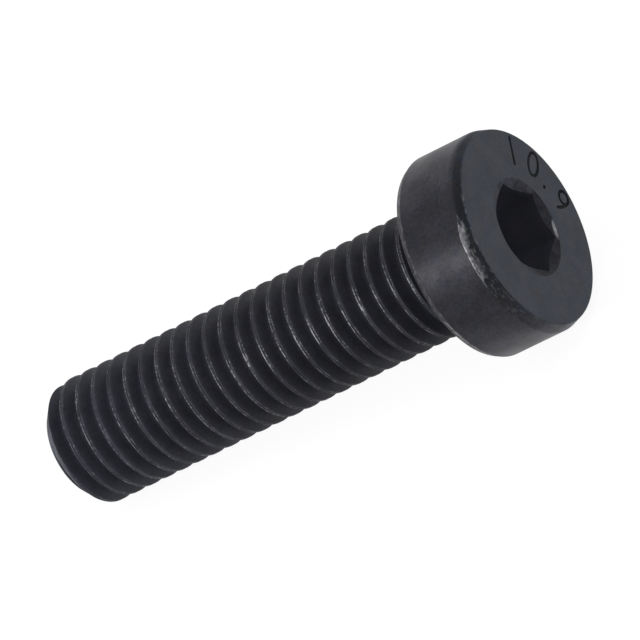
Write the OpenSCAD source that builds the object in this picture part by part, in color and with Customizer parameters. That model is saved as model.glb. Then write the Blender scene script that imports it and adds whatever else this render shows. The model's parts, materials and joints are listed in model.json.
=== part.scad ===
// Low-head hex socket cap screw, threaded over its whole length.
// The screw is one forged and rolled piece of steel. It lies on its side: the head touches
// the ground at its bearing-side rim, and the thread touches it at the last whole crest
// before the tip. The origin is the centre of the bearing face, +X runs to the head.
// Lengths are in millimetres.

/* [Thread] */
// Thread diameter over the crests
thread_d = 8; // [6:0.1:8.2]
// Distance from one crest to the next along the axis
thread_pitch = 1.25; // [0.9:0.05:1.5]
// Length from the bearing face to the end of the screw
shank_l = 30; // [12:0.5:60]
// Diameter of the flat end face, inside the chamfer that starts the thread
tip_d = 6.2; // [4:0.1:7]
// Angle of the end chamfer, measured from the axis
tip_angle = 45; // [30:1:60]

/* [Neck] */
// Diameter of the short plain neck between the thread and the head
neck_d = 7.3; // [5.6:0.1:7.8]
// Length of the plain neck, from the bearing face to where the crests begin
neck_l = 1; // [0.8:0.1:3]
// Radius of the fillet between the neck and the bearing face
fillet_r = 0.6; // [0.3:0.05:0.7]

/* [Head] */
// Diameter of the head
head_d = 13; // [11:0.1:18]
// Height of the head
head_h = 4.85; // [4.4:0.05:10]
// Height of the edge break round the socket-side face
top_break_h = 0.75; // [0.2:0.05:1]
// Width of the edge break round the socket-side face, across the face
top_break_w = 0.25; // [0.1:0.05:0.8]
// Height of the edge break round the bearing face
rim_break_h = 0.4; // [0.1:0.05:0.6]
// Width of the edge break round the bearing face
rim_break_w = 0.2; // [0.1:0.05:0.4]

/* [Socket] */
// Size of the hex socket across its flats, a 5 mm key with its clearance
socket_af = 5.1; // [3:0.1:5.4]
// Depth of the hex socket below the head's face
socket_depth = 3.8; // [2:0.1:3.9]
// Diameter of the countersunk mouth, at the face
mouth_d = 6.2; // [6:0.05:8]
// Angle of the countersunk mouth, from side to side
mouth_angle = 120; // [60:5:130]
// Depth of the shallow cone that the punch leaves at the bottom
punch_h = 0.4; // [0.2:0.1:0.5]

/* [Hidden] */

// Flat strips round one turn of the thread
TURN_STEPS = 36;
// A little extra that lets one shape bite into the next
BITE = 0.1;

// The metric thread form: a 60 degree groove with a flat crest
flank_angle = 30;
crest_w = thread_pitch / 8;
thread_h = 0.6134 * thread_pitch;
flank_w = thread_h * tan(flank_angle);
crest_r = thread_d / 2;
root_r = crest_r - thread_h;

neck_r = neck_d / 2;
tip_r = tip_d / 2;
tip_h = (crest_r - tip_r) / tan(tip_angle);
head_r = head_d / 2;
rim_r = head_r - rim_break_w;
face_r = head_r - top_break_w;
socket_r = socket_af / 2 / cos(30);
mouth_r = mouth_d / 2;

// One crest crosses the underside of the screw at each whole pitch below the bearing face
turns = ceil(shank_l / thread_pitch) + 1;
last_crest = floor((shank_l - tip_h - crest_w / 2) / thread_pitch) * thread_pitch + crest_w / 2;
rest_tilt = atan2(head_r - crest_r, last_crest + rim_break_h);

// The four corners of the thread form in one turn: height above the crest's middle, radius
FORM = [
    [-crest_w / 2, crest_r],
    [crest_w / 2, crest_r],
    [crest_w / 2 + flank_w, root_r],
    [thread_pitch - crest_w / 2 - flank_w, root_r],
];
CORNERS = len(FORM);
steps = turns * TURN_STEPS;

// Point number of one corner of the form after some steps of the helix
function at(step, corner) = step * CORNERS + corner;

// Place of one corner of the form after some steps of the right-hand helix
function thread_point(step, corner) =
    let (turn = step / TURN_STEPS, r = FORM[corner][1])
    [r * cos(360 * turn), r * sin(360 * turn), (turn - turns) * thread_pitch + FORM[corner][0]];

// Two triangles that fill the strip from one row of points to the next
function strip(a, b, c, d) = [[a, c, b], [a, d, c]];

// The threaded rod, one closed surface wound as a helix, a pitch longer than it is needed
module thread_rod() {
    bottom = (steps + 1) * CORNERS;
    top = bottom + 1;
    points = concat(
        [for (step = [0:steps]) for (corner = [0:CORNERS - 1]) thread_point(step, corner)],
        [[0, 0, thread_pitch / 2 - turns * thread_pitch], [0, 0, 0]]
    );
    flanks = [
        for (step = [0:steps - 1])
            for (corner = [0:CORNERS - 2])
                each strip(at(step, corner), at(step + 1, corner),
                           at(step + 1, corner + 1), at(step, corner + 1))
    ];
    roots = [
        for (step = [0:steps - TURN_STEPS - 1])
            each strip(at(step, CORNERS - 1), at(step + 1, CORNERS - 1),
                       at(step + 1 + TURN_STEPS, 0), at(step + TURN_STEPS, 0))
    ];
    // Each end is a fan from the axis to the first or last turn of the helix
    low_edge = concat(
        [for (step = [0:TURN_STEPS]) at(step, 0)],
        [for (corner = [CORNERS - 1:-1:1]) at(0, corner)]
    );
    high_edge = concat(
        [for (step = [steps - TURN_STEPS:steps]) at(step, CORNERS - 1)],
        [for (corner = [CORNERS - 2:-1:0]) at(steps, corner)]
    );
    ends = concat(
        [for (i = [0:len(low_edge) - 1])
            [bottom, low_edge[i], low_edge[(i + 1) % len(low_edge)]]],
        [for (i = [0:len(high_edge) - 1])
            [top, high_edge[(i + 1) % len(high_edge)], high_edge[i]]]
    );
    polyhedron(points, concat(flanks, roots, ends), convexity = 10);
}

// What is kept of the rod: the end chamfer trims the tip, a cone trims the crests at the neck
module rod_limits() {
    outer = crest_r + 2 * BITE;
    inner = neck_r - BITE;
    rotate_extrude($fn = 96)
        polygon([
            [0, -shank_l],
            [tip_r, -shank_l],
            [outer, (outer - tip_r) / tan(tip_angle) - shank_l],
            [outer, neck_r - outer - neck_l],
            [inner, neck_r - inner - neck_l],
            [inner, thread_pitch],
            [0, thread_pitch],
        ]);
}

// Half section of the head, with both edges broken
module head_section() {
    polygon([
        [0, 0],
        [rim_r, 0],
        [head_r, rim_break_h],
        [head_r, head_h - top_break_h],
        [face_r, head_h],
        [0, head_h],
    ]);
}

// Half section of the neck: it runs out into the thread grooves and flares into the head
module neck_section() {
    run_out = neck_r - root_r + BITE;
    polygon([
        [0, -neck_l - BITE - run_out],
        [neck_r - run_out, -neck_l - BITE - run_out],
        [neck_r, -neck_l - BITE],
        [neck_r, BITE],
        [0, BITE],
    ]);
    difference() {
        translate([0, -fillet_r])
            square([neck_r + fillet_r, fillet_r + BITE]);
        translate([neck_r + fillet_r, -fillet_r])
            circle(r = fillet_r, $fn = 48);
    }
}

// Hex socket with a countersunk mouth and a shallow punched bottom, flats level with the ground
module socket() {
    mouth_h = mouth_r / tan(mouth_angle / 2);
    translate([0, 0, head_h - socket_depth])
        rotate([0, 0, 30])
            cylinder(r = socket_r, h = socket_depth + BITE, $fn = 6);
    translate([0, 0, head_h - mouth_h])
        cylinder(r1 = 0, r2 = 2 * mouth_r, h = 2 * mouth_h, $fn = 96);
    translate([0, 0, head_h - socket_depth - punch_h])
        cylinder(r1 = 0, r2 = socket_af / 2 - BITE, h = punch_h + BITE / 2, $fn = 96);
}

// The whole screw, in its own upright frame and then laid down on the ground
module screw() {
    color("#2e2f34")
        rotate([0, 90 - rest_tilt, 0])
            difference() {
                union() {
                    rotate_extrude($fn = 96) {
                        head_section();
                        neck_section();
                    }
                    intersection() {
                        thread_rod();
                        rod_limits();
                    }
                }
                socket();
            }
}

screw();
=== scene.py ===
"""Looks of a low-head hex socket cap screw: rolled thread, forged head, black oxide steel."""

import json
import math
import bmesh
import bpy
from mathutils import Matrix, Vector


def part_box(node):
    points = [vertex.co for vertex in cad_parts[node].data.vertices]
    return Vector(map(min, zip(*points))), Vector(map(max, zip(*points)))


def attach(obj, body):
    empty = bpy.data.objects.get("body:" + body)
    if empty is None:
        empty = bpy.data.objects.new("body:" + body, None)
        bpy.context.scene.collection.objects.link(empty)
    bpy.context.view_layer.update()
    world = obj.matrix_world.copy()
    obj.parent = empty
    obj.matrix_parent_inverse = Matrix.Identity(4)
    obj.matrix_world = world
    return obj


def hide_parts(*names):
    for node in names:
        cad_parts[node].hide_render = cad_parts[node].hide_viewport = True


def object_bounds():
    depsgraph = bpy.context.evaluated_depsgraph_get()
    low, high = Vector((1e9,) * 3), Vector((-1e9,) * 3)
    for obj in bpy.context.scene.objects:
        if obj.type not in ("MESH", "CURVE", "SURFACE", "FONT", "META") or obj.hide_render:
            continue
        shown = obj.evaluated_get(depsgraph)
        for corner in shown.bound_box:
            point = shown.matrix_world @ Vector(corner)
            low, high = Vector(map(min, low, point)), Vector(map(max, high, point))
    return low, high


# The screw lies on its side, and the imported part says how. Every shape below is made upright
# in millimetres, with the bearing face at height 0 and the head above it, and is laid down
# at the end by one matrix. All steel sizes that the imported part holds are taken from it.
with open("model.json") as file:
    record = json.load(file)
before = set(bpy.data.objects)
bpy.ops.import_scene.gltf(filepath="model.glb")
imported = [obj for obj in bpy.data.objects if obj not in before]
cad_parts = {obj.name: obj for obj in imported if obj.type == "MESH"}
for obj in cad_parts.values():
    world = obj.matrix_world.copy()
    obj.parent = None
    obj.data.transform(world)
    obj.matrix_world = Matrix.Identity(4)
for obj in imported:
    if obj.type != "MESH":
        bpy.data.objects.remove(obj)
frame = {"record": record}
cad_low, cad_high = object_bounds()
screw_low, screw_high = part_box("screw")
mounts = {mount["name"]: mount for mount in frame["record"]["mounts"]}

MM = 0.001
axis = Vector(mounts["head_face"]["axis"]).normalized()
rest_tilt = math.atan2(axis.z, axis.x)
lie = math.radians(90) - rest_tilt
laid_down = Matrix.Rotation(lie, 4, "Y") @ Matrix.Scale(MM, 4)

head_r = (screw_high.y - screw_low.y) / 2 / MM
head_h = Vector(mounts["head_face"]["pos_m"]).length / MM


# Black oxide is a thin dark skin, grown on the steel in a hot bath and oiled. It is satin,
# cloudy where the bath took unevenly, and rubbed off to bare steel on the proud edges.
OXIDE_BLUE = (0.035, 0.046, 0.07)
OXIDE_BROWN = (0.0525, 0.0505, 0.0625)
OXIDE_DEEP = (0.044, 0.047, 0.061)
BARE_STEEL = (0.42, 0.42, 0.44)
# Noises have so many cells a millimetre, and most of a noise lies between two figures
TINT_SCALE = 1.1
TOOTH_SCALE = 5.0
NOISE_LOW = 0.3
NOISE_HIGH = 0.7
TINT_LOW = 0.36
TINT_HIGH = 0.64
# How much glossier the light clouds are, and how far the fine tooth stands proud, in millimetres
CLOUD_GLOSS = 0.12
TOOTH_RELIEF = 0.01
TOOTH_STRENGTH = 0.5
# A speck is bare where its noise stands over a level, which falls as the rubbing grows from 0
# to 1. Its edge is softened over the level, and by a smaller share under it.
LEVEL_UNRUBBED = 0.8
LEVEL_RUBBED = 0.18
SOFT_UNDER = 0.4
RUBBING_STARTS = 0.25


def feed(tree, inputs, feeds):
    """Feeds input sockets, each from a value or from another socket."""
    for name, source in feeds.items():
        if isinstance(source, bpy.types.NodeSocket):
            tree.links.new(source, inputs[name])
        else:
            inputs[name].default_value = source


def place_node(tree, kind, feeds=None, **settings):
    """Adds a node, sets its options and feeds its inputs."""
    node = tree.nodes.new(kind)
    for name, value in settings.items():
        setattr(node, name, value)
    feed(tree, node.inputs, feeds or {})
    return node


def start_group(name, inputs, outputs, kind="ShaderNodeTree"):
    """Makes an empty node group with named sockets. Gives it, what comes in and what goes out."""
    tree = bpy.data.node_groups.new(name, kind)
    for label, socket, value in inputs:
        made = tree.interface.new_socket(label, in_out="INPUT", socket_type=socket)
        if value is not None:
            made.default_value = value
    for label, socket in outputs:
        tree.interface.new_socket(label, in_out="OUTPUT", socket_type=socket)
    return tree, tree.nodes.new("NodeGroupInput").outputs, tree.nodes.new("NodeGroupOutput").inputs


def figure(tree, operation, *terms):
    """Adds a math node over values or sockets, and gives its result."""
    feeds = dict(enumerate(terms))
    return place_node(tree, "ShaderNodeMath", feeds, operation=operation).outputs[0]


def product(tree, first, *others):
    """Multiplies values or sockets in turn."""
    for term in others:
        first = figure(tree, "MULTIPLY", first, term)
    return first


def mixed(tree, share, first, second, kind="FLOAT"):
    """Goes from a first value, colour or vector to a second one while a share goes from 0 to 1."""
    feeds = {"Factor": share, "A": first, "B": second}
    return place_node(tree, "ShaderNodeMix", feeds, data_type=kind).outputs["Result"]


def noise(tree, place, scale, detail, roughness=0.6):
    """Adds a noise over a place, with so many cells a millimetre, and gives its value."""
    feeds = {"Vector": place, "Scale": scale, "Detail": detail, "Roughness": roughness}
    return place_node(tree, "ShaderNodeTexNoise", feeds).outputs["Fac"]


def ramp_between(tree, value, low, high, to_low=0.0, to_high=1.0):
    """Eases from one value to another while a measure goes from low to high."""
    feeds = {"Value": value, "From Min": low, "From Max": high, "To Min": to_low, "To Max": to_high}
    node = place_node(tree, "ShaderNodeMapRange", feeds, interpolation_type="SMOOTHSTEP")
    return node.outputs["Result"]


# Where a point is on the upright screw: its place, its distance from the axis and its height
# over the bearing face, all in millimetres, and its azimuth in degrees
on_screw, _, out = start_group(
    "place_on_screw", [],
    [("Place", "NodeSocketVector"), ("Radius", "NodeSocketFloat"),
     ("Height", "NodeSocketFloat"), ("Azimuth", "NodeSocketFloat")])
object_place = place_node(on_screw, "ShaderNodeTexCoord").outputs["Object"]
upright = place_node(on_screw, "ShaderNodeMapping", {
    "Vector": object_place, "Rotation": (0, -lie, 0), "Scale": (1 / MM, 1 / MM, 1 / MM)}).outputs[0]
parts = place_node(on_screw, "ShaderNodeSeparateXYZ", {0: upright}).outputs
flat = place_node(on_screw, "ShaderNodeCombineXYZ", {"X": parts["X"], "Y": parts["Y"]})
reach = place_node(on_screw, "ShaderNodeVectorMath", {0: flat.outputs[0]}, operation="LENGTH")
turned_by = figure(on_screw, "ARCTAN2", parts["Y"], parts["X"])
feed(on_screw, out, {
    "Place": upright, "Radius": reach.outputs["Value"], "Height": parts["Z"],
    "Azimuth": figure(on_screw, "DEGREES", turned_by)})

# The clouds and the fine tooth of the oxide skin, scaled by a shade that also carries painted
# light and shade
oxide, given, out = start_group(
    "oxide_skin_and_shading",
    [("Place", "NodeSocketVector", None), ("Blue", "NodeSocketColor", (*OXIDE_BLUE, 1)),
     ("Brown", "NodeSocketColor", (*OXIDE_BROWN, 1)), ("Shade", "NodeSocketFloat", 1.0),
     ("Warmth", "NodeSocketFloat", 0.0), ("Cloud Size", "NodeSocketFloat", 2.0),
     ("Cloud Depth", "NodeSocketFloat", 0.3), ("Tooth Depth", "NodeSocketFloat", 0.15),
     ("Dryness", "NodeSocketFloat", 0.0)],
    [("Color", "NodeSocketColor"), ("Gloss Change", "NodeSocketFloat"),
     ("Tooth", "NodeSocketFloat")])
cloud = noise(oxide, given["Place"], figure(oxide, "DIVIDE", 1.0, given["Cloud Size"]), 4.0)
tooth = noise(oxide, given["Place"], TOOTH_SCALE, 4.0, 0.75)
tint = noise(oxide, given["Place"], TINT_SCALE, 5.0, 0.7)
cloudy = product(oxide, ramp_between(oxide, cloud, NOISE_LOW, NOISE_HIGH, -1.0, 1.0),
                 given["Cloud Depth"])
toothy = product(oxide, ramp_between(oxide, tooth, NOISE_LOW, NOISE_HIGH, -1.0, 1.0),
                 given["Tooth Depth"])
lift = figure(oxide, "ADD", figure(oxide, "ADD", cloudy, toothy), 1.0)
brown_share = figure(oxide, "ADD", ramp_between(oxide, tint, TINT_LOW, TINT_HIGH), given["Warmth"])
hue = mixed(oxide, brown_share, given["Blue"], given["Brown"], "RGBA")
toned = place_node(oxide, "ShaderNodeVectorMath",
                   {0: hue, "Scale": product(oxide, lift, given["Shade"])}, operation="SCALE")
glossier = figure(oxide, "SUBTRACT", product(oxide, cloudy, CLOUD_GLOSS), given["Dryness"])
feed(oxide, out, {"Color": toned.outputs["Vector"], "Gloss Change": glossier, "Tooth": tooth})

# Rubbing breaks the skin in specks and streaks: more rubbing, more bare steel. The same bare
# steel also makes painted highlights.
rubbed, given, out = start_group(
    "bare_steel_wear_and_glints",
    [("Place", "NodeSocketVector", None), ("Rubbing", "NodeSocketFloat", 0.0),
     ("Speck Scale", "NodeSocketFloat", 4.0), ("Softness", "NodeSocketFloat", 0.16),
     ("Cover", "NodeSocketFloat", 1.0)],
    [("Bare", "NodeSocketFloat")])
specks = noise(rubbed, given["Place"], given["Speck Scale"], 5.0, 0.65)
left_over = figure(rubbed, "SUBTRACT", 1.0, given["Rubbing"])
level = figure(rubbed, "MULTIPLY_ADD", left_over, LEVEL_UNRUBBED - LEVEL_RUBBED, LEVEL_RUBBED)
over_level = figure(rubbed, "SUBTRACT", specks, level)
soft_start = product(rubbed, given["Softness"], -SOFT_UNDER)
broken = ramp_between(rubbed, over_level, soft_start, given["Softness"])
started = ramp_between(rubbed, given["Rubbing"], 0.0, RUBBING_STARTS)
feed(rubbed, out, {"Bare": product(rubbed, broken, started, given["Cover"])})


def oxide_steel(name, skin_and_shading_look, wear_and_highlight_look, roughness=0.45, polish=0.2, metal=0.5, ior=1.3):
    """Black oxide steel, with a skin and wear as the two given functions say, which also carry
    painted light, shade and highlights. Metal is how far the skin mirrors as metal does, and
    polish how much smoother the bare steel is."""
    material = bpy.data.materials.new(name)
    material.use_nodes = True
    tree = material.node_tree
    place = place_node(tree, "ShaderNodeGroup", node_tree=on_screw).outputs
    skin_and_shading_feeds = {"Place": place["Place"], **skin_and_shading_look(tree, place)}
    skin = place_node(tree, "ShaderNodeGroup", skin_and_shading_feeds, node_tree=oxide).outputs
    wear_and_highlight_feeds = {"Place": place["Place"], **wear_and_highlight_look(tree, place)}
    bare = place_node(tree, "ShaderNodeGroup", wear_and_highlight_feeds, node_tree=rubbed).outputs["Bare"]
    satin = figure(tree, "SUBTRACT", roughness, skin["Gloss Change"])
    bump = place_node(tree, "ShaderNodeBump", {
        "Height": skin["Tooth"], "Strength": TOOTH_STRENGTH, "Distance": TOOTH_RELIEF * MM})
    feed(tree, tree.nodes["Principled BSDF"].inputs, {
        "Base Color": mixed(tree, bare, skin["Color"], (*BARE_STEEL, 1), "RGBA"),
        "Metallic": mixed(tree, bare, metal, 1.0),
        "Roughness": figure(tree, "SUBTRACT", satin, product(tree, bare, polish)),
        "Normal": bump.outputs["Normal"],
        "IOR": ior})
    return material


# The shank: a full-length right-hand metric thread, rolled between dies. Rolling pushes the
# steel up into crests that meet in a fine seam, and rubbing has bared their two edges.
PITCH = 1.25
thread_r = mounts["thread"]["dims"]["r_mm"]
THREAD_DEPTH = 0.6134 * PITCH
FLANK_SLOPE = 1 / math.tan(math.radians(30))
CREST_W = 0.26
CREST_EASING = 0.1
ROOT_EASING = 0.15
SEAM_DEPTH = 0.05
SEAM_W = 0.09
TIP_R = 3.1
shank_l = (-screw_low.x / MM - TIP_R * math.sin(rest_tilt)) / math.cos(rest_tilt)
# The sheet that is wound into the thread: its steps round, its rows a pitch and how far these
# gather at the crests, and how many pitches and millimetres of it there are past either end
TURN_STEPS = 96
ROWS_A_PITCH = 24
ROW_GATHER = 0.6
PITCHES_PAST = 2
LOW_END_PAST = 0.3
HIGH_END_PAST = 0.45
# The end chamfer is a cone at 45 degrees, and what lies this near to it is on it
NEAR_CONE = 0.03
OFF_CONE = 0.1

# Tones of the skin in the roots and on the flanks, where the roots are painted lighter against
# the shade that falls in them, how much lighter the tip and its chamfer are, and the heights
# between which the skin grows lighter and then bluer towards the tip
PAINTED_ROOT_LIGHT = 0.64
FLANK_TONE = 0.52
TIP_LIGHTER = 1.3
CHAMFER_LIGHTER = 1.5
GROWS_LIGHTER = (-8.0, -shank_l)
GROWS_BLUER = (-16.0, -shank_l)
# How much each edge of the crests is rubbed, from the least to the most worn stretches, and
# how far under the crests the rubbing begins and is full
STRETCH_SCALE = 0.8
TIP_EDGE_RUBBING = (0.28, 0.54)
HEAD_EDGE_RUBBING = (0.12, 0.46)
RUBBED_FROM = 0.06
RUBBED_FULL = 0.006
CHAMFER_RUBBING = 0.46
# A painted highlight, partly wear from handling: the crests carry more bare steel on the side
# that mirrors the low lamp, and less far from the head. That side lies between two azimuths,
# in degrees round the screw from 0 at the ground, and it fades in and out over the third figure.
GLINT_SIDE = (208.0, 266.0, 30.0)
GLINT_HEIGHTS = (-22.0, -7.0)
GLINT_RUBBING = 0.26
# How far a degree round the screw counts in the place of a speck, in millimetres
CHAMFER_DEGREE = 0.012


def round_screw(tree, place):
    """Azimuth from 0 to 360 degrees."""
    return figure(tree, "MODULO", figure(tree, "ADD", place["Azimuth"], 360.0), 360.0)


def bump_between(tree, value, low, high, ease):
    """Rises to 1 just past the low value and falls back to 0 just before the high one."""
    return product(tree, ramp_between(tree, value, low, low + ease),
                   ramp_between(tree, value, high, high - ease))


def turned_place(tree, place, degree):
    """A place for specks that are long round the screw, as the marks of turning are."""
    return place_node(tree, "ShaderNodeCombineXYZ", {
        "X": product(tree, round_screw(tree, place), degree),
        "Y": place["Height"], "Z": place["Radius"]}).outputs[0]


def on_end_chamfer(tree, place):
    """1 on the cone that starts the thread at the tip, and 0 elsewhere."""
    cone_r = figure(tree, "ADD", place["Height"], shank_l + TIP_R)
    off_cone = figure(tree, "ABSOLUTE", figure(tree, "SUBTRACT", place["Radius"], cone_r))
    return ramp_between(tree, off_cone, OFF_CONE, NEAR_CONE)


def thread_skin_and_shading(tree, place):
    """Roots painted lighter than the flanks against their shade, lighter and bluer to the tip, its
    chamfer dry.
    """
    on_chamfer = on_end_chamfer(tree, place)
    # Painted light: the roots are lighter than the flanks, against the shade that falls in them
    depth = ramp_between(tree, place["Radius"], thread_r - THREAD_DEPTH, thread_r - 0.2,
                         PAINTED_ROOT_LIGHT, FLANK_TONE)
    chamfer = mixed(tree, on_chamfer, 1.0, CHAMFER_LIGHTER)
    tipward = ramp_between(tree, place["Height"], *GROWS_LIGHTER, 1.0, TIP_LIGHTER)
    return {"Shade": product(tree, depth, chamfer, tipward), "Blue": (*OXIDE_DEEP, 1),
            "Warmth": ramp_between(tree, place["Height"], *GROWS_BLUER, -0.15, -0.7),
            "Cloud Size": 1.4, "Cloud Depth": 0.15, "Dryness": product(tree, on_chamfer, 0.35)}


def thread_wear_and_glints(tree, place):
    """Crests rubbed along the edge towards the tip, less along the other, and on the chamfer, with
    more bare steel as a painted highlight on one side.
    """
    stretches = noise(tree, place["Place"], STRETCH_SCALE, 2.0)
    turns_up = figure(tree, "SUBTRACT", figure(tree, "DIVIDE", place["Height"], PITCH),
                      figure(tree, "DIVIDE", place["Azimuth"], 360.0))
    from_crest = product(tree, figure(tree, "WRAP", turns_up, 0.5, -0.5), PITCH)
    # Painted highlight, partly wear: more bare steel on the side that mirrors the low lamp
    glint_share = product(tree, bump_between(tree, round_screw(tree, place), *GLINT_SIDE),
                      ramp_between(tree, place["Height"], *GLINT_HEIGHTS, 0.25, 1.0))
    tip_edge = figure(tree, "ADD", ramp_between(tree, stretches, 0.38, 0.62, *TIP_EDGE_RUBBING),
                      product(tree, glint_share, GLINT_RUBBING))
    head_edge = ramp_between(tree, stretches, 0.42, 0.62, *HEAD_EDGE_RUBBING)
    headward = ramp_between(tree, from_crest, 0.0, 0.05)
    crest = ramp_between(tree, place["Radius"], thread_r - RUBBED_FROM, thread_r - RUBBED_FULL)
    below_head = ramp_between(tree, place["Height"], 0.0, -0.2)
    rubbing = product(tree, crest, mixed(tree, headward, tip_edge, head_edge), below_head)
    on_chamfer = on_end_chamfer(tree, place)
    rubbing = figure(tree, "MAXIMUM", rubbing, product(tree, on_chamfer, CHAMFER_RUBBING))
    speck_place = mixed(tree, on_chamfer, place["Place"],
                        turned_place(tree, place, CHAMFER_DEGREE), "VECTOR")
    return {"Place": speck_place, "Rubbing": rubbing, "Speck Scale": 6.5, "Softness": 0.18,
            "Cover": mixed(tree, glint_share, 0.34, 0.48)}


thread_steel = oxide_steel("rolled_thread_steel", thread_skin_and_shading, thread_wear_and_glints, roughness=0.5,
                           polish=0.1, metal=0.3, ior=1.25)

winding, size, out = start_group(
    "rolled_thread",
    [("Pitch", "NodeSocketFloat", PITCH), ("Thread Radius", "NodeSocketFloat", thread_r),
     ("Thread Depth", "NodeSocketFloat", THREAD_DEPTH), ("Crest Width", "NodeSocketFloat", CREST_W),
     ("Seam Depth", "NodeSocketFloat", SEAM_DEPTH), ("Length", "NodeSocketFloat", shank_l),
     ("Pitches", "NodeSocketInt", 1), ("Steps Round", "NodeSocketInt", TURN_STEPS),
     ("Rows", "NodeSocketInt", ROWS_A_PITCH), ("Steel", "NodeSocketMaterial", thread_steel)],
    [("Geometry", "NodeSocketGeometry")], "GeometryNodeTree")
# A flat sheet is wound round the axis: across it is one turn, along it are all the pitches
columns = figure(winding, "ADD", size["Steps Round"], 1)
row_count = product(winding, size["Pitches"], size["Rows"])
sheet = place_node(winding, "GeometryNodeMeshGrid", {
    "Size X": 1.0, "Size Y": 1.0, "Vertices X": columns,
    "Vertices Y": figure(winding, "ADD", row_count, 1)})
spot = place_node(winding, "ShaderNodeSeparateXYZ",
                  {0: place_node(winding, "GeometryNodeInputPosition").outputs[0]}).outputs
turn = figure(winding, "ADD", spot["X"], 0.5)
even_up = product(winding, figure(winding, "ADD", spot["Y"], 0.5), size["Pitches"])
# The rows gather at the crests, where the form is finest
wave = figure(winding, "SINE", product(winding, even_up, 2 * math.pi))
gathered = product(winding, wave, ROW_GATHER / (2 * math.pi))
pitches_up = figure(winding, "SUBTRACT", even_up, gathered)
# The lowest crest starts a whole number of pitches below the bearing face
below = figure(winding, "SUBTRACT", size["Pitches"], PITCHES_PAST)
climb = figure(winding, "SUBTRACT", figure(winding, "ADD", pitches_up, turn), below)
height = product(winding, climb, size["Pitch"])
from_crest = product(winding, figure(winding, "PINGPONG", pitches_up, 0.5), size["Pitch"])
# The 60 degree groove, with its root and its crest eased a little, and the seam in the crest
past_flat = figure(winding, "SUBTRACT", product(winding, size["Crest Width"], 0.5), from_crest)
flank = figure(winding, "MULTIPLY_ADD", past_flat, FLANK_SLOPE, size["Thread Radius"])
root_r = figure(winding, "SUBTRACT", size["Thread Radius"], size["Thread Depth"])
rooted = figure(winding, "SMOOTH_MAX", flank, root_r, ROOT_EASING)
crested = figure(winding, "SMOOTH_MIN", rooted, size["Thread Radius"], CREST_EASING)
seam_share = ramp_between(winding, from_crest, SEAM_W, 0.0)
angle = product(winding, turn, 2 * math.pi)
along = figure(winding, "COSINE", angle)
across = figure(winding, "SINE", angle)
on_crest = place_node(winding, "ShaderNodeCombineXYZ", {
    "X": product(winding, along, size["Thread Radius"]),
    "Y": product(winding, across, size["Thread Radius"]), "Z": height})
uneven = noise(winding, on_crest.outputs[0], 1.6, 2.0)
seam_here = product(winding, ramp_between(winding, uneven, NOISE_LOW, NOISE_HIGH, 0.3, 1.7),
                    size["Seam Depth"])
form_r = figure(winding, "SUBTRACT", crested, product(winding, seam_share, seam_here))
# Past either end the sheet is gathered onto the axis, which closes the rod
low_end = figure(winding, "SUBTRACT", product(winding, size["Length"], -1.0), LOW_END_PAST)
height_kept = figure(winding, "MINIMUM", figure(winding, "MAXIMUM", height, low_end), HIGH_END_PAST)
inside = figure(winding, "COMPARE", height, height_kept, 0.0001)
ring_r = product(winding, form_r, inside)
wound = place_node(winding, "ShaderNodeCombineXYZ", {
    "X": product(winding, ring_r, along), "Y": product(winding, ring_r, across), "Z": height_kept})
rod = place_node(winding, "GeometryNodeSetPosition", {
    "Geometry": sheet.outputs["Mesh"], "Position": wound.outputs[0]})
closed = place_node(winding, "GeometryNodeMergeByDistance", {
    "Geometry": rod.outputs["Geometry"], "Distance": 0.001})
real = place_node(winding, "GeometryNodeRealizeInstances", {"Geometry": closed.outputs["Geometry"]})
painted = place_node(winding, "GeometryNodeSetMaterial", {
    "Geometry": real.outputs["Geometry"], "Material": size["Steel"]})
feed(winding, out, {"Geometry": painted.outputs["Geometry"]})


def put_in(name, data):
    """Puts an object into the scene, with its mesh, lamp or lens."""
    made = bpy.data.objects.new(name, data)
    bpy.context.scene.collection.objects.link(made)
    return made


screw = put_in("cap_screw", bpy.data.meshes.new("cap_screw"))
rolling = screw.modifiers.new("rolled_thread", "NODES")
rolling.node_group = winding
sockets = {item.name: item.identifier for item in winding.interface.items_tree
           if item.item_type == "SOCKET" and item.in_out == "INPUT"}
rolling[sockets["Pitches"]] = math.ceil(shank_l / PITCH) + 2 * PITCHES_PAST
rolling[sockets["Length"]] = shank_l


# The ends of the thread: a turned blank limits it, with a chamfer that starts the nut at the
# tip and a cone that ends the crests below the head.
TIP_ANGLE = math.radians(45)
NECK_R = 3.65
NECK_L = 1.0
# How far one shape bites into the next, how far the blank stands off the crests and how far
# it reaches up into the head
BITE = 0.1
BLANK_OFF = 0.2
BLANK_IN_HEAD = 0.4
LATHE_STEPS = 192
EASING_STEPS = 4


def eased(corners):
    """Points of an outline whose corners, each (radius, height, easing), are rounded."""
    points = []
    for i, (x, y, easing) in enumerate(corners):
        here = Vector((x, y))
        if not easing:
            points.append(here)
            continue
        before = Vector(corners[i - 1][:2]) - here
        after = Vector(corners[(i + 1) % len(corners)][:2]) - here
        half = before.angle(after) / 2
        middle = (before.normalized() + after.normalized()).normalized()
        centre = here + middle * easing / math.sin(half)
        start = here + before.normalized() * easing / math.tan(half) - centre
        end = here + after.normalized() * easing / math.tan(half) - centre
        swing = start.angle_signed(end)
        for step in range(EASING_STEPS + 1):
            # mathutils turns a 2-D vector clockwise for a positive signed angle
            bend = Matrix.Rotation(-swing * step / EASING_STEPS, 2)
            points.append(centre + bend @ start)
    return points


def bridge(work, low, high):
    """Adds the faces from one ring of points to the next. A ring may be a single point."""
    count = max(len(low), len(high))
    for step in range(count):
        after = (step + 1) % count
        corners = [low[step % len(low)], low[after % len(low)],
                   high[after % len(high)], high[step % len(high)]]
        work.faces.new(list(dict.fromkeys(corners)))


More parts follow.
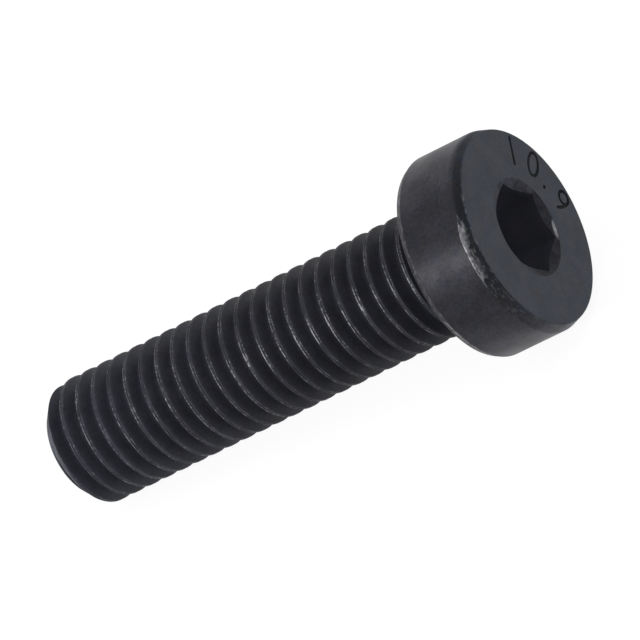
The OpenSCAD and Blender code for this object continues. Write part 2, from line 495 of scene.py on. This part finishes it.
def solid(name, work, steel):
    """Puts closed faces into the scene as one solid of one steel, with its faces outwards."""
    bmesh.ops.recalc_face_normals(work, faces=work.faces)
    mesh = bpy.data.meshes.new(name)
    work.to_mesh(mesh)
    work.free()
    mesh.materials.append(steel)
    return put_in(name, mesh)


def turn_solid(name, outline, steel):
    """A closed turned solid. Its outline of (radius, height) starts and ends on the axis."""
    work = bmesh.new()
    rings = []
    for radius, level in outline:
        steps = LATHE_STEPS if radius else 1
        turns = [2 * math.pi * step / steps for step in range(steps)]
        rings.append([
            work.verts.new((radius * math.cos(turn), radius * math.sin(turn), level))
            for turn in turns])
    for low, high in zip(rings, rings[1:]):
        bridge(work, low, high)
    return solid(name, work, steel)


blank_r = thread_r + BLANK_OFF
blank = turn_solid("thread_blank", eased([
    (0, -shank_l, 0),
    (TIP_R, -shank_l, 0.12),
    (blank_r, (blank_r - TIP_R) / math.tan(TIP_ANGLE) - shank_l, 0),
    (blank_r, NECK_R - blank_r - NECK_L, 0),
    (NECK_R - BITE, BITE - NECK_L, 0),
    (NECK_R - BITE, BLANK_IN_HEAD, 0),
    (0, BLANK_IN_HEAD, 0)]), thread_steel)


# The head: cold forged with the shank in one piece, then tumbled. It is low, 13 mm across,
# with a narrow break at the rim under it and a steeper one round the socket side, which is
# darkened with painted shade.
RIM_BREAK_H = 0.4
RIM_BREAK_W = 0.2
TOP_BREAK_H = 0.75
TOP_BREAK_W = 0.25
FILLET_R = 0.6
run_out = NECK_R - (thread_r - THREAD_DEPTH) + BITE
# The tone of the face, and of the side at azimuths round the head, each fading into the next.
# The side's tones are painted light and shade: darkest from about 200 to 270 degrees, and
# lightest towards the ground. Azimuths are in degrees from 0 at the ground.
FACE_TONE = 0.59
SIDE_LIGHT_AND_SHADE = ((0, 0.8), (150, 0.68), (188, 0.56), (204, 0.34), (230, 0.27), (248, 0.34),
              (266, 0.33), (282, 0.44), (312, 0.85), (360, 0.8))
# The eased edge between the side and the face starts this far below the face
FACE_EDGE_H = 0.06
# The top break carries a band of painted shade with a ragged foot. It widens between two
# azimuths, and it fades away between two others.
SHADE_BAND_WIDENS = (210.0, 230.0)
NARROW_SHADE_BAND_H = 0.55
SHADE_BAND_FADES = (244.0, 290.0)
RAGGED_SCALE = 2.5
RAGGED_BY = 0.3
# Worn places, each between two azimuths and fading over its third figure: the long drag at the
# top break, the line that goes on after it, the specks by the face, the scuffs past the drag
# and the barest stretch of the rim below
DRAG = (207.0, 262.0, 17.0)
CORNER_LINE = (255.0, 315.0, 15.0)
FACE_SPECKS = (195.0, 250.0, 12.0)
SCUFFS = (243.0, 292.0, 16.0)
BAREST_RIM = (254.0, 316.0, 16.0)
# How much they are rubbed, the line by the face less outside its specks than in them
RIM_RUBBING = 0.52
DRAG_RUBBING = 0.66
CORNER_RUBBING = 0.3
FACE_LINE_RUBBING = (0.22, 0.36)
SCUFF_RUBBING = 0.29
# How far a degree round the head counts in the place of a speck, in millimetres
HEAD_DEGREE = 0.045


def shade_band_foot(tree, place):
    """Height at which the band of painted shade on the top break begins."""
    return ramp_between(tree, round_screw(tree, place), *SHADE_BAND_WIDENS,
                        head_h - NARROW_SHADE_BAND_H, head_h - TOP_BREAK_H - 0.03)


def head_skin_and_shading(tree, place):
    """The face is even and bluish, the side cloudy and warmer with painted light and shade round
    it, and the top break dark with painted shade, and dry.
    """
    rounded = round_screw(tree, place)
    face = ramp_between(tree, place["Height"], head_h - FACE_EDGE_H, head_h - 0.01)
    ragged = noise(tree, place["Place"], RAGGED_SCALE, 4.0, 0.5)
    ragged_height = figure(tree, "MULTIPLY_ADD", ragged, RAGGED_BY,
                           figure(tree, "SUBTRACT", place["Height"], RAGGED_BY / 2))
    above_foot = figure(tree, "SUBTRACT", ragged_height, shade_band_foot(tree, place))
    # Painted shade: the band darkens the top break, and makes it bluer and drier
    band = product(tree, ramp_between(tree, above_foot, -0.14, 0.15),
                   figure(tree, "SUBTRACT", 1.0, face),
                   ramp_between(tree, rounded, *SHADE_BAND_FADES, 1.0, 0.1))
    # Painted light and shade round the side, by azimuth
    tones = tree.nodes.new("ShaderNodeValToRGB")
    tones.color_ramp.interpolation = "EASE"
    stops = tones.color_ramp.elements
    while len(stops) < len(SIDE_LIGHT_AND_SHADE):
        stops.new(0.5)
    for stop, (degrees, tone) in zip(stops, SIDE_LIGHT_AND_SHADE):
        stop.position = degrees / 360
        stop.color = (tone, tone, tone, 1)
    tree.links.new(figure(tree, "DIVIDE", rounded, 360.0), tones.inputs["Fac"])
    tone = mixed(tree, face, tones.outputs["Color"], FACE_TONE)
    # Where a look has two figures, they are the side's and the face's
    warmth = mixed(tree, face, 0.5, -0.2)
    return {"Shade": product(tree, tone, mixed(tree, band, 1.0, 0.6)),
            "Warmth": figure(tree, "SUBTRACT", warmth, product(tree, band, 0.5)),
            "Cloud Size": 1.6, "Cloud Depth": mixed(tree, face, 0.21, 0.12),
            "Tooth Depth": mixed(tree, face, 0.24, 0.14), "Dryness": product(tree, band, 0.25)}


def head_wear(tree, place):
    """Rubbed all round at the rim below, and in one long drag and in specks at the top break."""
    rounded = round_screw(tree, place)
    # The rim's wear starts over its break, thins out on it and ends before the bearing face
    in_rim = ramp_between(tree, place["Height"], RIM_BREAK_H + 0.12, RIM_BREAK_H - 0.04,
                          0.0, RIM_RUBBING)
    rubbing = product(tree, in_rim, ramp_between(tree, place["Height"], 0.1, 0.25, 0.6, 1.0),
                      ramp_between(tree, place["Radius"], head_r - 0.35, head_r - 0.2))
    # The drag is brightest along the lower corner of the break and thins out towards the face
    above_foot = figure(tree, "SUBTRACT", place["Height"], shade_band_foot(tree, place))
    lens = bump_between(tree, rounded, *DRAG)
    fading = figure(tree, "DIVIDE", above_foot, mixed(tree, lens, 0.05, 0.8))
    drag = product(tree, ramp_between(tree, fading, 1.0, 0.1),
                   ramp_between(tree, above_foot, -0.09, -0.02), lens, DRAG_RUBBING)
    low_corner = figure(tree, "ABSOLUTE", above_foot)
    corner_line = product(tree, ramp_between(tree, low_corner, 0.07, 0.0, 0.0, CORNER_RUBBING),
                          bump_between(tree, rounded, *CORNER_LINE))
    speckled = bump_between(tree, rounded, *FACE_SPECKS)
    face_line = product(tree, ramp_between(tree, place["Radius"], head_r - 0.36, head_r - 0.27),
                        ramp_between(tree, place["Height"], head_h - 0.16, head_h - FACE_EDGE_H),
                        mixed(tree, speckled, *FACE_LINE_RUBBING))
    # Past the drag the break is only scuffed, here and there
    scuffs = product(tree, ramp_between(tree, above_foot, -0.1, 0.1),
                     ramp_between(tree, place["Height"], head_h - 0.02, head_h - FACE_EDGE_H),
                     bump_between(tree, rounded, *SCUFFS), SCUFF_RUBBING)
    for mark in (drag, corner_line, face_line, scuffs):
        rubbing = figure(tree, "MAXIMUM", rubbing, mark)
    # Where a look has two figures, they are the rim's and the top break's
    is_high = ramp_between(tree, place["Height"], 1.0, 2.0)
    low_cover = mixed(tree, bump_between(tree, rounded, *BAREST_RIM), 0.2, 0.46)
    high_cover = ramp_between(tree, rounded, 254.0, 270.0, 0.56, 0.3)
    return {"Place": turned_place(tree, place, HEAD_DEGREE), "Rubbing": rubbing,
            "Speck Scale": mixed(tree, is_high, 5.0, 6.0),
            "Softness": mixed(tree, is_high, 0.2, 0.4),
            "Cover": mixed(tree, is_high, low_cover, high_cover)}


head_steel = oxide_steel("forged_head_steel", head_skin_and_shading, head_wear)

head = turn_solid("forged_head", eased([
    (0, -NECK_L - BITE - run_out, 0),
    (NECK_R - run_out, -NECK_L - BITE - run_out, 0),
    (NECK_R, -NECK_L - BITE, 0),
    (NECK_R, 0, FILLET_R),
    (head_r - RIM_BREAK_W, 0, 0.06),
    (head_r, RIM_BREAK_H, 0.2),
    (head_r, head_h - TOP_BREAK_H, 0.3),
    (head_r - TOP_BREAK_W, head_h, 0.08),
    (0, head_h, 0)]), head_steel)


# The socket: a hex for a 5 mm key, punched cold, with a countersunk mouth that guides the key
# in and the punch's shallow cone at the bottom. Two of its flats lie level.
SOCKET_AF = 5.1
SOCKET_DEPTH = 3.8
SOCKET_CORNER_R = 0.12
MOUTH_R = 3.1
MOUTH_HALF_ANGLE = math.radians(60)
PUNCH_H = 0.4
# How far the tools that press the socket reach past the face
TOOL_PAST = 0.3
# Between which azimuths the mouth is darkened with painted shade, lighter elsewhere with
# painted light, and where a streak of bare steel makes a painted highlight. Each fades in and
# out over its third figure.
PAINTED_MOUTH_SHADE = (-70.0, 98.0, 14.0)
MOUTH_HIGHLIGHT = (22.0, 58.0, 14.0)
# The stamped figures are darkened with painted shade
FIGURE_PAINTED_SHADE = 0.45


def socket_skin_and_shading(tree, place):
    """The walls are matt and painted lighter deep down against their shade, the mouth is cloudy
    with painted light and shade round it, and the figures darkened with painted shade.
    """
    # Painted light: the walls are lighter deep down, against the shade that falls there
    wall = ramp_between(tree, place["Height"], head_h - SOCKET_DEPTH, head_h - 0.5, 1.7, 0.6)
    in_mouth = ramp_between(tree, place["Height"], head_h - 0.38, head_h - 0.3)
    # Painted shade on one side of the mouth, and painted light on the rest
    mouth_shade_share = bump_between(tree, place["Azimuth"], *PAINTED_MOUTH_SHADE)
    mouth = product(tree, in_mouth, mixed(tree, mouth_shade_share, 0.17, -0.15))
    # Painted shade darkens the stamped figures
    in_figures = ramp_between(tree, place["Radius"], MOUTH_R + 0.1, MOUTH_R + 0.2, 1.0, FIGURE_PAINTED_SHADE)
    # Where a look has two figures, they are the walls' and the mouth's
    return {"Shade": product(tree, figure(tree, "ADD", wall, mouth), in_figures),
            "Blue": (*OXIDE_DEEP, 1), "Warmth": mixed(tree, in_mouth, -0.2, -0.1),
            "Cloud Size": mixed(tree, in_mouth, 1.2, 0.6),
            "Cloud Depth": mixed(tree, in_mouth, 0.06, 0.36),
            "Tooth Depth": 0.06, "Dryness": 0.1}


def socket_painted_highlight(tree, place):
    """A painted highlight of bare steel at one corner of the mouth, and none deeper down."""
    # Painted highlight: a streak of bare steel at one corner of the mouth
    stretch = bump_between(tree, place["Azimuth"], *MOUTH_HIGHLIGHT)
    inner = mixed(tree, stretch, MOUTH_R - 0.02, MOUTH_R - 0.18)
    lip = ramp_between(tree, figure(tree, "SUBTRACT", place["Radius"], inner), -0.03, 0.05)
    within = ramp_between(tree, place["Radius"], MOUTH_R + 0.1, MOUTH_R)
    return {"Rubbing": product(tree, lip, stretch, within), "Speck Scale": 3.0, "Softness": 0.5,
            "Cover": 0.6}


socket_steel = oxide_steel("punched_socket_steel", socket_skin_and_shading, socket_painted_highlight, roughness=0.55,
                           metal=0.15, ior=1.2)

floor_level = head_h - SOCKET_DEPTH
cos_30 = math.cos(math.radians(30))
corner_out = SOCKET_AF / 2 / cos_30 - SOCKET_CORNER_R / cos_30
hex_outline = []
for corner in range(6):
    way = math.radians(30 + 60 * corner)
    for lean in (-30, -15, 0, 15, 30):
        swing = way + math.radians(lean)
        hex_outline.append((corner_out * math.cos(way) + SOCKET_CORNER_R * math.cos(swing),
                            corner_out * math.sin(way) + SOCKET_CORNER_R * math.sin(swing)))
work = bmesh.new()
sole = work.faces.new([work.verts.new((x, y, floor_level)) for x, y in hex_outline])
risen = bmesh.ops.extrude_face_region(work, geom=[sole])
top_points = [item for item in risen["geom"] if isinstance(item, bmesh.types.BMVert)]
bmesh.ops.translate(work, verts=top_points, vec=(0, 0, SOCKET_DEPTH + TOOL_PAST))
hex_punch = solid("hex_punch", work, socket_steel)

# The mouth's edge is eased, so its tool widens on over the face at a lower slope
mouth_h = MOUTH_R / math.tan(MOUTH_HALF_ANGLE)
mouth_tool = turn_solid("mouth_tool", eased([
    (0, head_h - mouth_h, 0),
    (MOUTH_R, head_h, 0.6),
    (MOUTH_R + 1, head_h + 0.08, 0),
    (MOUTH_R + 1, head_h + TOOL_PAST, 0),
    (0, head_h + TOOL_PAST, 0)]), socket_steel)
punch_r = SOCKET_AF / 2 - BITE
punch_tip = turn_solid("punch_tip", eased([
    (0, floor_level - PUNCH_H, 0),
    (punch_r, floor_level + BITE / 2, 0),
    (0, floor_level + BITE / 2, 0)]), socket_steel)


# Plain numbers stamped round the face: the strength class of the steel, in strokes of one
# width with round ends, tops towards the rim.
FIGURE_H = 1.75
STROKE_R = 0.11
STROKE_SIDES = 16
STAMP_LIFT = 0.01
FIGURES_MIDDLE_R = 5.05
FIGURES = ((118.4, "1"), (95.4, "0"), (79.5, "."), (62.5, "9"))
# The rings that round off the end of a stroke: how far out each is and its size, in radii
NOSE_RINGS = ((0.7, 0.714), (0.995, 0.1))
ARC_STEPS = 20


def arc(x, y, wide, tall, start, end):
    """Points on part of an ellipse, from one angle to another."""
    turns = [math.radians(start + (end - start) * step / ARC_STEPS)
             for step in range(ARC_STEPS + 1)]
    return [(x + wide * math.cos(turn), y + tall * math.sin(turn)) for turn in turns]


# Strokes on a figure one unit high, with its middle at 0, 0
STROKES = {
    "1": [[(0, -0.5), (0, 0.5)]],
    "0": [arc(0, 0, 0.26, 0.5, 0, 360)],
    ".": [[(0, -0.47), (0, -0.42)]],
    "9": [arc(0, 0.24, 0.25, 0.26, 0, 360), arc(0, 0.24, 0.25, 0.74, 0, -62)],
}


def stroke_tool(name, path, steel):
    """A round-nosed tool that follows one stroke in the plane of the face."""
    is_loop = math.dist(path[0], path[-1]) < 1e-6
    points = [Vector((x, y, 0)) for x, y in (path[:-1] if is_loop else path)]
    spans = []
    for i, point in enumerate(points):
        before = points[i - 1] if i or is_loop else point
        after = points[(i + 1) % len(points)] if i + 1 < len(points) or is_loop else point
        spans.append((point, (after - before).normalized(), STROKE_R))
    if not is_loop:
        first, last = spans[0], spans[-1]
        for share, size in NOSE_RINGS:
            spans.insert(0, (first[0] - first[1] * STROKE_R * share, first[1], STROKE_R * size))
            spans.append((last[0] + last[1] * STROKE_R * share, last[1], STROKE_R * size))
    work = bmesh.new()
    up = Vector((0, 0, 1))
    turns = [2 * math.pi * step / STROKE_SIDES for step in range(STROKE_SIDES)]
    rings = []
    for point, ahead, radius in spans:
        across = Vector((-ahead.y, ahead.x, 0))
        rings.append([
            work.verts.new(point + (across * math.cos(turn) + up * math.sin(turn)) * radius)
            for turn in turns])
    for ring, following in zip(rings, rings[1:]):
        bridge(work, ring, following)
    if is_loop:
        bridge(work, rings[-1], rings[0])
    else:
        work.faces.new(rings[0])
        work.faces.new(rings[-1])
    return solid(name, work, steel)


stamps = []
for degrees, sign in FIGURES:
    way = math.radians(degrees)
    outward = Vector((math.cos(way), math.sin(way)))
    rightward = Vector((math.sin(way), -math.cos(way)))
    for stroke in STROKES[sign]:
        path = [outward * (FIGURES_MIDDLE_R + y * FIGURE_H) + rightward * x * FIGURE_H
                for x, y in stroke]
        stamp = stroke_tool("figure_stamp", path, socket_steel)
        stamp.data.transform(Matrix.Translation((0, 0, head_h + STAMP_LIFT)))
        stamps.append(stamp)


# The finished screw: the thread is cut to its blank and grown together with the head, then
# the socket and the figures are pressed in. It is one watertight piece of steel.
SLIVER = 0.002
SHARP_FROM = math.radians(28)
SQUARE_TO_AXIS = 0.9999
pressed = [hex_punch, mouth_tool, punch_tip, *stamps]
workings = [(blank, "INTERSECT"), (head, "UNION"), *((tool, "DIFFERENCE") for tool in pressed)]
for tool, action in workings:
    step = screw.modifiers.new(tool.name, "BOOLEAN")
    step.operation = action
    step.object = tool
    step.solver = "MANIFOLD"
    step.material_mode = "TRANSFER"
graph = bpy.context.evaluated_depsgraph_get()
screw_mesh = bpy.data.meshes.new_from_object(screw.evaluated_get(graph))
screw.modifiers.clear()
screw.data = screw_mesh
# Slivers that the cuts left along their seams are closed up
work = bmesh.new()
work.from_mesh(screw_mesh)
bmesh.ops.remove_doubles(work, verts=work.verts, dist=SLIVER)
bmesh.ops.dissolve_degenerate(work, edges=work.edges, dist=SLIVER)
bmesh.ops.delete(work, geom=[edge for edge in work.edges if not edge.link_faces], context="EDGES")
work.to_mesh(screw_mesh)
work.free()
screw_mesh.transform(laid_down)
screw_mesh.shade_smooth()
screw_mesh.set_sharp_from_angle(angle=SHARP_FROM)
for polygon in screw_mesh.polygons:
    # What lies square to the axis is flat, and what curves into it is smooth
    polygon.use_smooth = abs(polygon.normal.dot(axis)) < SQUARE_TO_AXIS
for tool in (blank, head, *pressed):
    bpy.data.objects.remove(tool)
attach(screw, "root")
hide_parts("screw")


# The ground: a plain white sheet, level with the lowest point of the screw. It keeps a soft
# shadow and runs out of view all round.
GROUND_WHITE = (0.93, 0.93, 0.93, 1)
GROUND_GLOW = 1.05
GROUND_REACH = 6.0
SHADOW_SHARE = 0.12


def seen_plainly(tree):
    """1 where the camera, a reflection or glass looks at a thing, and 0 where light falls on it."""
    path = place_node(tree, "ShaderNodeLightPath").outputs
    mirrored = figure(tree, "MAXIMUM", path["Is Camera Ray"], path["Is Glossy Ray"])
    return figure(tree, "MAXIMUM", mirrored, path["Is Transmission Ray"])


ground_mesh = bpy.data.meshes.new("ground")
ground_corners = [(x * GROUND_REACH, y * GROUND_REACH, cad_low.z)
                  for x, y in ((-1, -1), (1, -1), (1, 1), (-1, 1))]
ground_mesh.from_pydata(ground_corners, [], [(0, 1, 2, 3)])
ground = put_in("ground", ground_mesh)
ground_paper = bpy.data.materials.new("ground_paper")
ground_paper.use_nodes = True
tree = ground_paper.node_tree
tree.nodes.remove(tree.nodes["Principled BSDF"])
matt = place_node(tree, "ShaderNodeBsdfDiffuse", {"Color": GROUND_WHITE})
white = place_node(tree, "ShaderNodeEmission", {"Strength": GROUND_GLOW})
plain_share = product(tree, seen_plainly(tree), 1 - SHADOW_SHARE)
blend = place_node(tree, "ShaderNodeMixShader", {
    0: plain_share, 1: matt.outputs[0], 2: white.outputs[0]})
tree.links.new(blend.outputs[0], tree.nodes["Material Output"].inputs["Surface"])
ground_mesh.materials.append(ground_paper)


# The light: a white room, a broad lamp overhead, and a long soft one low at the camera's
# left, which the flanks of the head and the crests mirror to the camera.
ROOM_GLOW = 0.6
world = bpy.data.worlds.new("white_room")
world.use_nodes = True
tree = world.node_tree
feed(tree, tree.nodes["Background"].inputs, {
    "Color": (1, 1, 1, 1), "Strength": mixed(tree, seen_plainly(tree), ROOM_GLOW, 1.0)})
bpy.context.scene.world = world


# The camera: a long lens, well back, rolled to the left. Its place is worked out from where
# the bearing face's centre falls in the picture and how the axis points at the camera.
PICTURE = 640
SENSOR_W = 36
FOCAL_PX = 10003.0
CENTRE_PX = (463.64, 258.08)
DISTANCE = 593.5
AXIS_TO_CAMERA = math.radians(30.718)
AXIS_IN_PICTURE = math.radians(26.2175)
UP_ROUND_AXIS = math.radians(33.6)
c_in, s_in = math.cos(AXIS_TO_CAMERA), math.sin(AXIS_TO_CAMERA)
c_px, s_px = math.cos(AXIS_IN_PICTURE), math.sin(AXIS_IN_PICTURE)
seen_axis = Vector((c_in * c_px, c_in * s_px, s_in))
seen_side = Vector((-s_px, c_px, 0))
seen_near = Vector((-s_in * c_px, -s_in * s_px, c_in))
seen_up = math.cos(UP_ROUND_AXIS) * seen_side + math.sin(UP_ROUND_AXIS) * seen_near
seen_left = math.sin(UP_ROUND_AXIS) * seen_side - math.cos(UP_ROUND_AXIS) * seen_near
to_camera = Matrix((seen_axis, seen_left, seen_up)).transposed()
own_axes = Matrix((axis, Vector((0, 1, 0)), Vector((-axis.z, 0, axis.x)))).transposed()
camera_turn = own_axes @ to_camera.transposed()
seen_centre = Vector(((CENTRE_PX[0] - PICTURE / 2) / FOCAL_PX * DISTANCE,
                      -(CENTRE_PX[1] - PICTURE / 2) / FOCAL_PX * DISTANCE, -DISTANCE))
lens = bpy.data.cameras.new("camera")
lens.sensor_width = SENSOR_W
lens.lens = FOCAL_PX / PICTURE * SENSOR_W
lens.clip_start = 0.01
lens.clip_end = 100
camera = put_in("camera", lens)
camera.matrix_world = Matrix.Translation(-(camera_turn @ seen_centre) * MM) @ camera_turn.to_4x4()
bpy.context.scene.camera = camera


def soft_lamp(name, toward, distance, wide, tall, watts):
    """An area lamp that stands off in one direction and shines at the screw."""
    lamp = bpy.data.lights.new(name, "AREA")
    lamp.shape = "RECTANGLE"
    lamp.size = wide
    lamp.size_y = tall
    lamp.energy = watts
    holder = put_in(name, lamp)
    away = Vector(toward).normalized()
    holder.location = away * distance + (cad_low + cad_high) / 2
    holder.rotation_euler = away.to_track_quat("Z", "Y").to_euler()


beside_camera = camera_turn @ Vector((-0.79, -0.39, 0.48))
soft_lamp("overhead", (0.1, -0.15, 1), distance=1.2, wide=1.4, tall=1.4, watts=5)
soft_lamp("low_left", beside_camera, distance=1.0, wide=0.35, tall=0.22, watts=5.5)

bpy.context.scene.view_settings.view_transform = "Standard"
